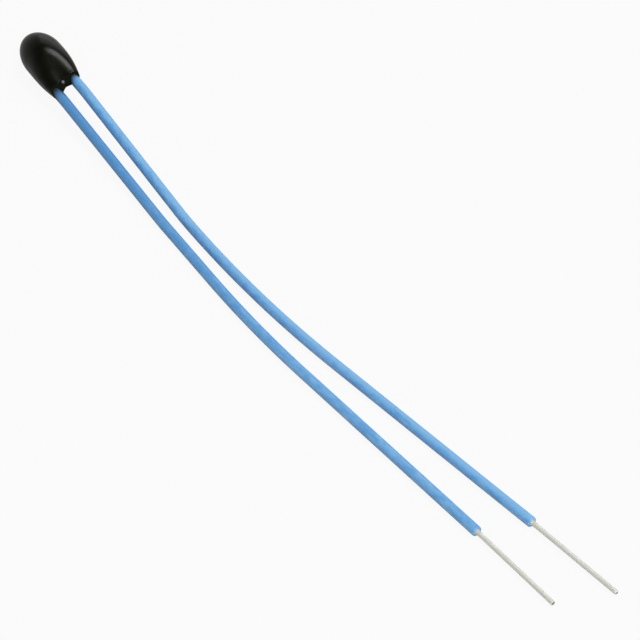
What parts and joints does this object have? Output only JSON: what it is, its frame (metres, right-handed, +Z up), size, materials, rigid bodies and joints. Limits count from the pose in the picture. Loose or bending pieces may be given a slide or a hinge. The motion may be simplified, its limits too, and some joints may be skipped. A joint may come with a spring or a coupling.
{
  "type": "bead thermistor",
  "caption": "Small black epoxy-dipped bead that senses temperature, with long blue insulated lead wires stripped to bare metal at their tips.",
  "frame": {"origin": "on the surface that the part lies on, under the middle of the bead", "axes": "+X from the bead along its leads towards their tips, +Y to the left of the leads, +Z up"},
  "size_m": [0.0493, 0.0062, 0.0023],
  "materials": {
    "epoxy": "dipped black epoxy, glossy",
    "insulation": "light blue extruded plastic, satin",
    "wire": "silvered solid copper wire, drawn",
    "ceramic": "sintered oxide ceramic",
    "electrode": "fired silver",
    "solder": "tin solder"
  },
  "bodies": {
    "root": {"epoxy_bead": "epoxy", "sensor_chip": "ceramic", "electrode_left": "electrode", "electrode_right": "electrode", "solder_left": "solder", "solder_right": "solder", "lead_wire_left": "wire", "lead_wire_right": "wire", "sleeve_left": "insulation", "sleeve_right": "insulation"}
  },
  "joints": []
}
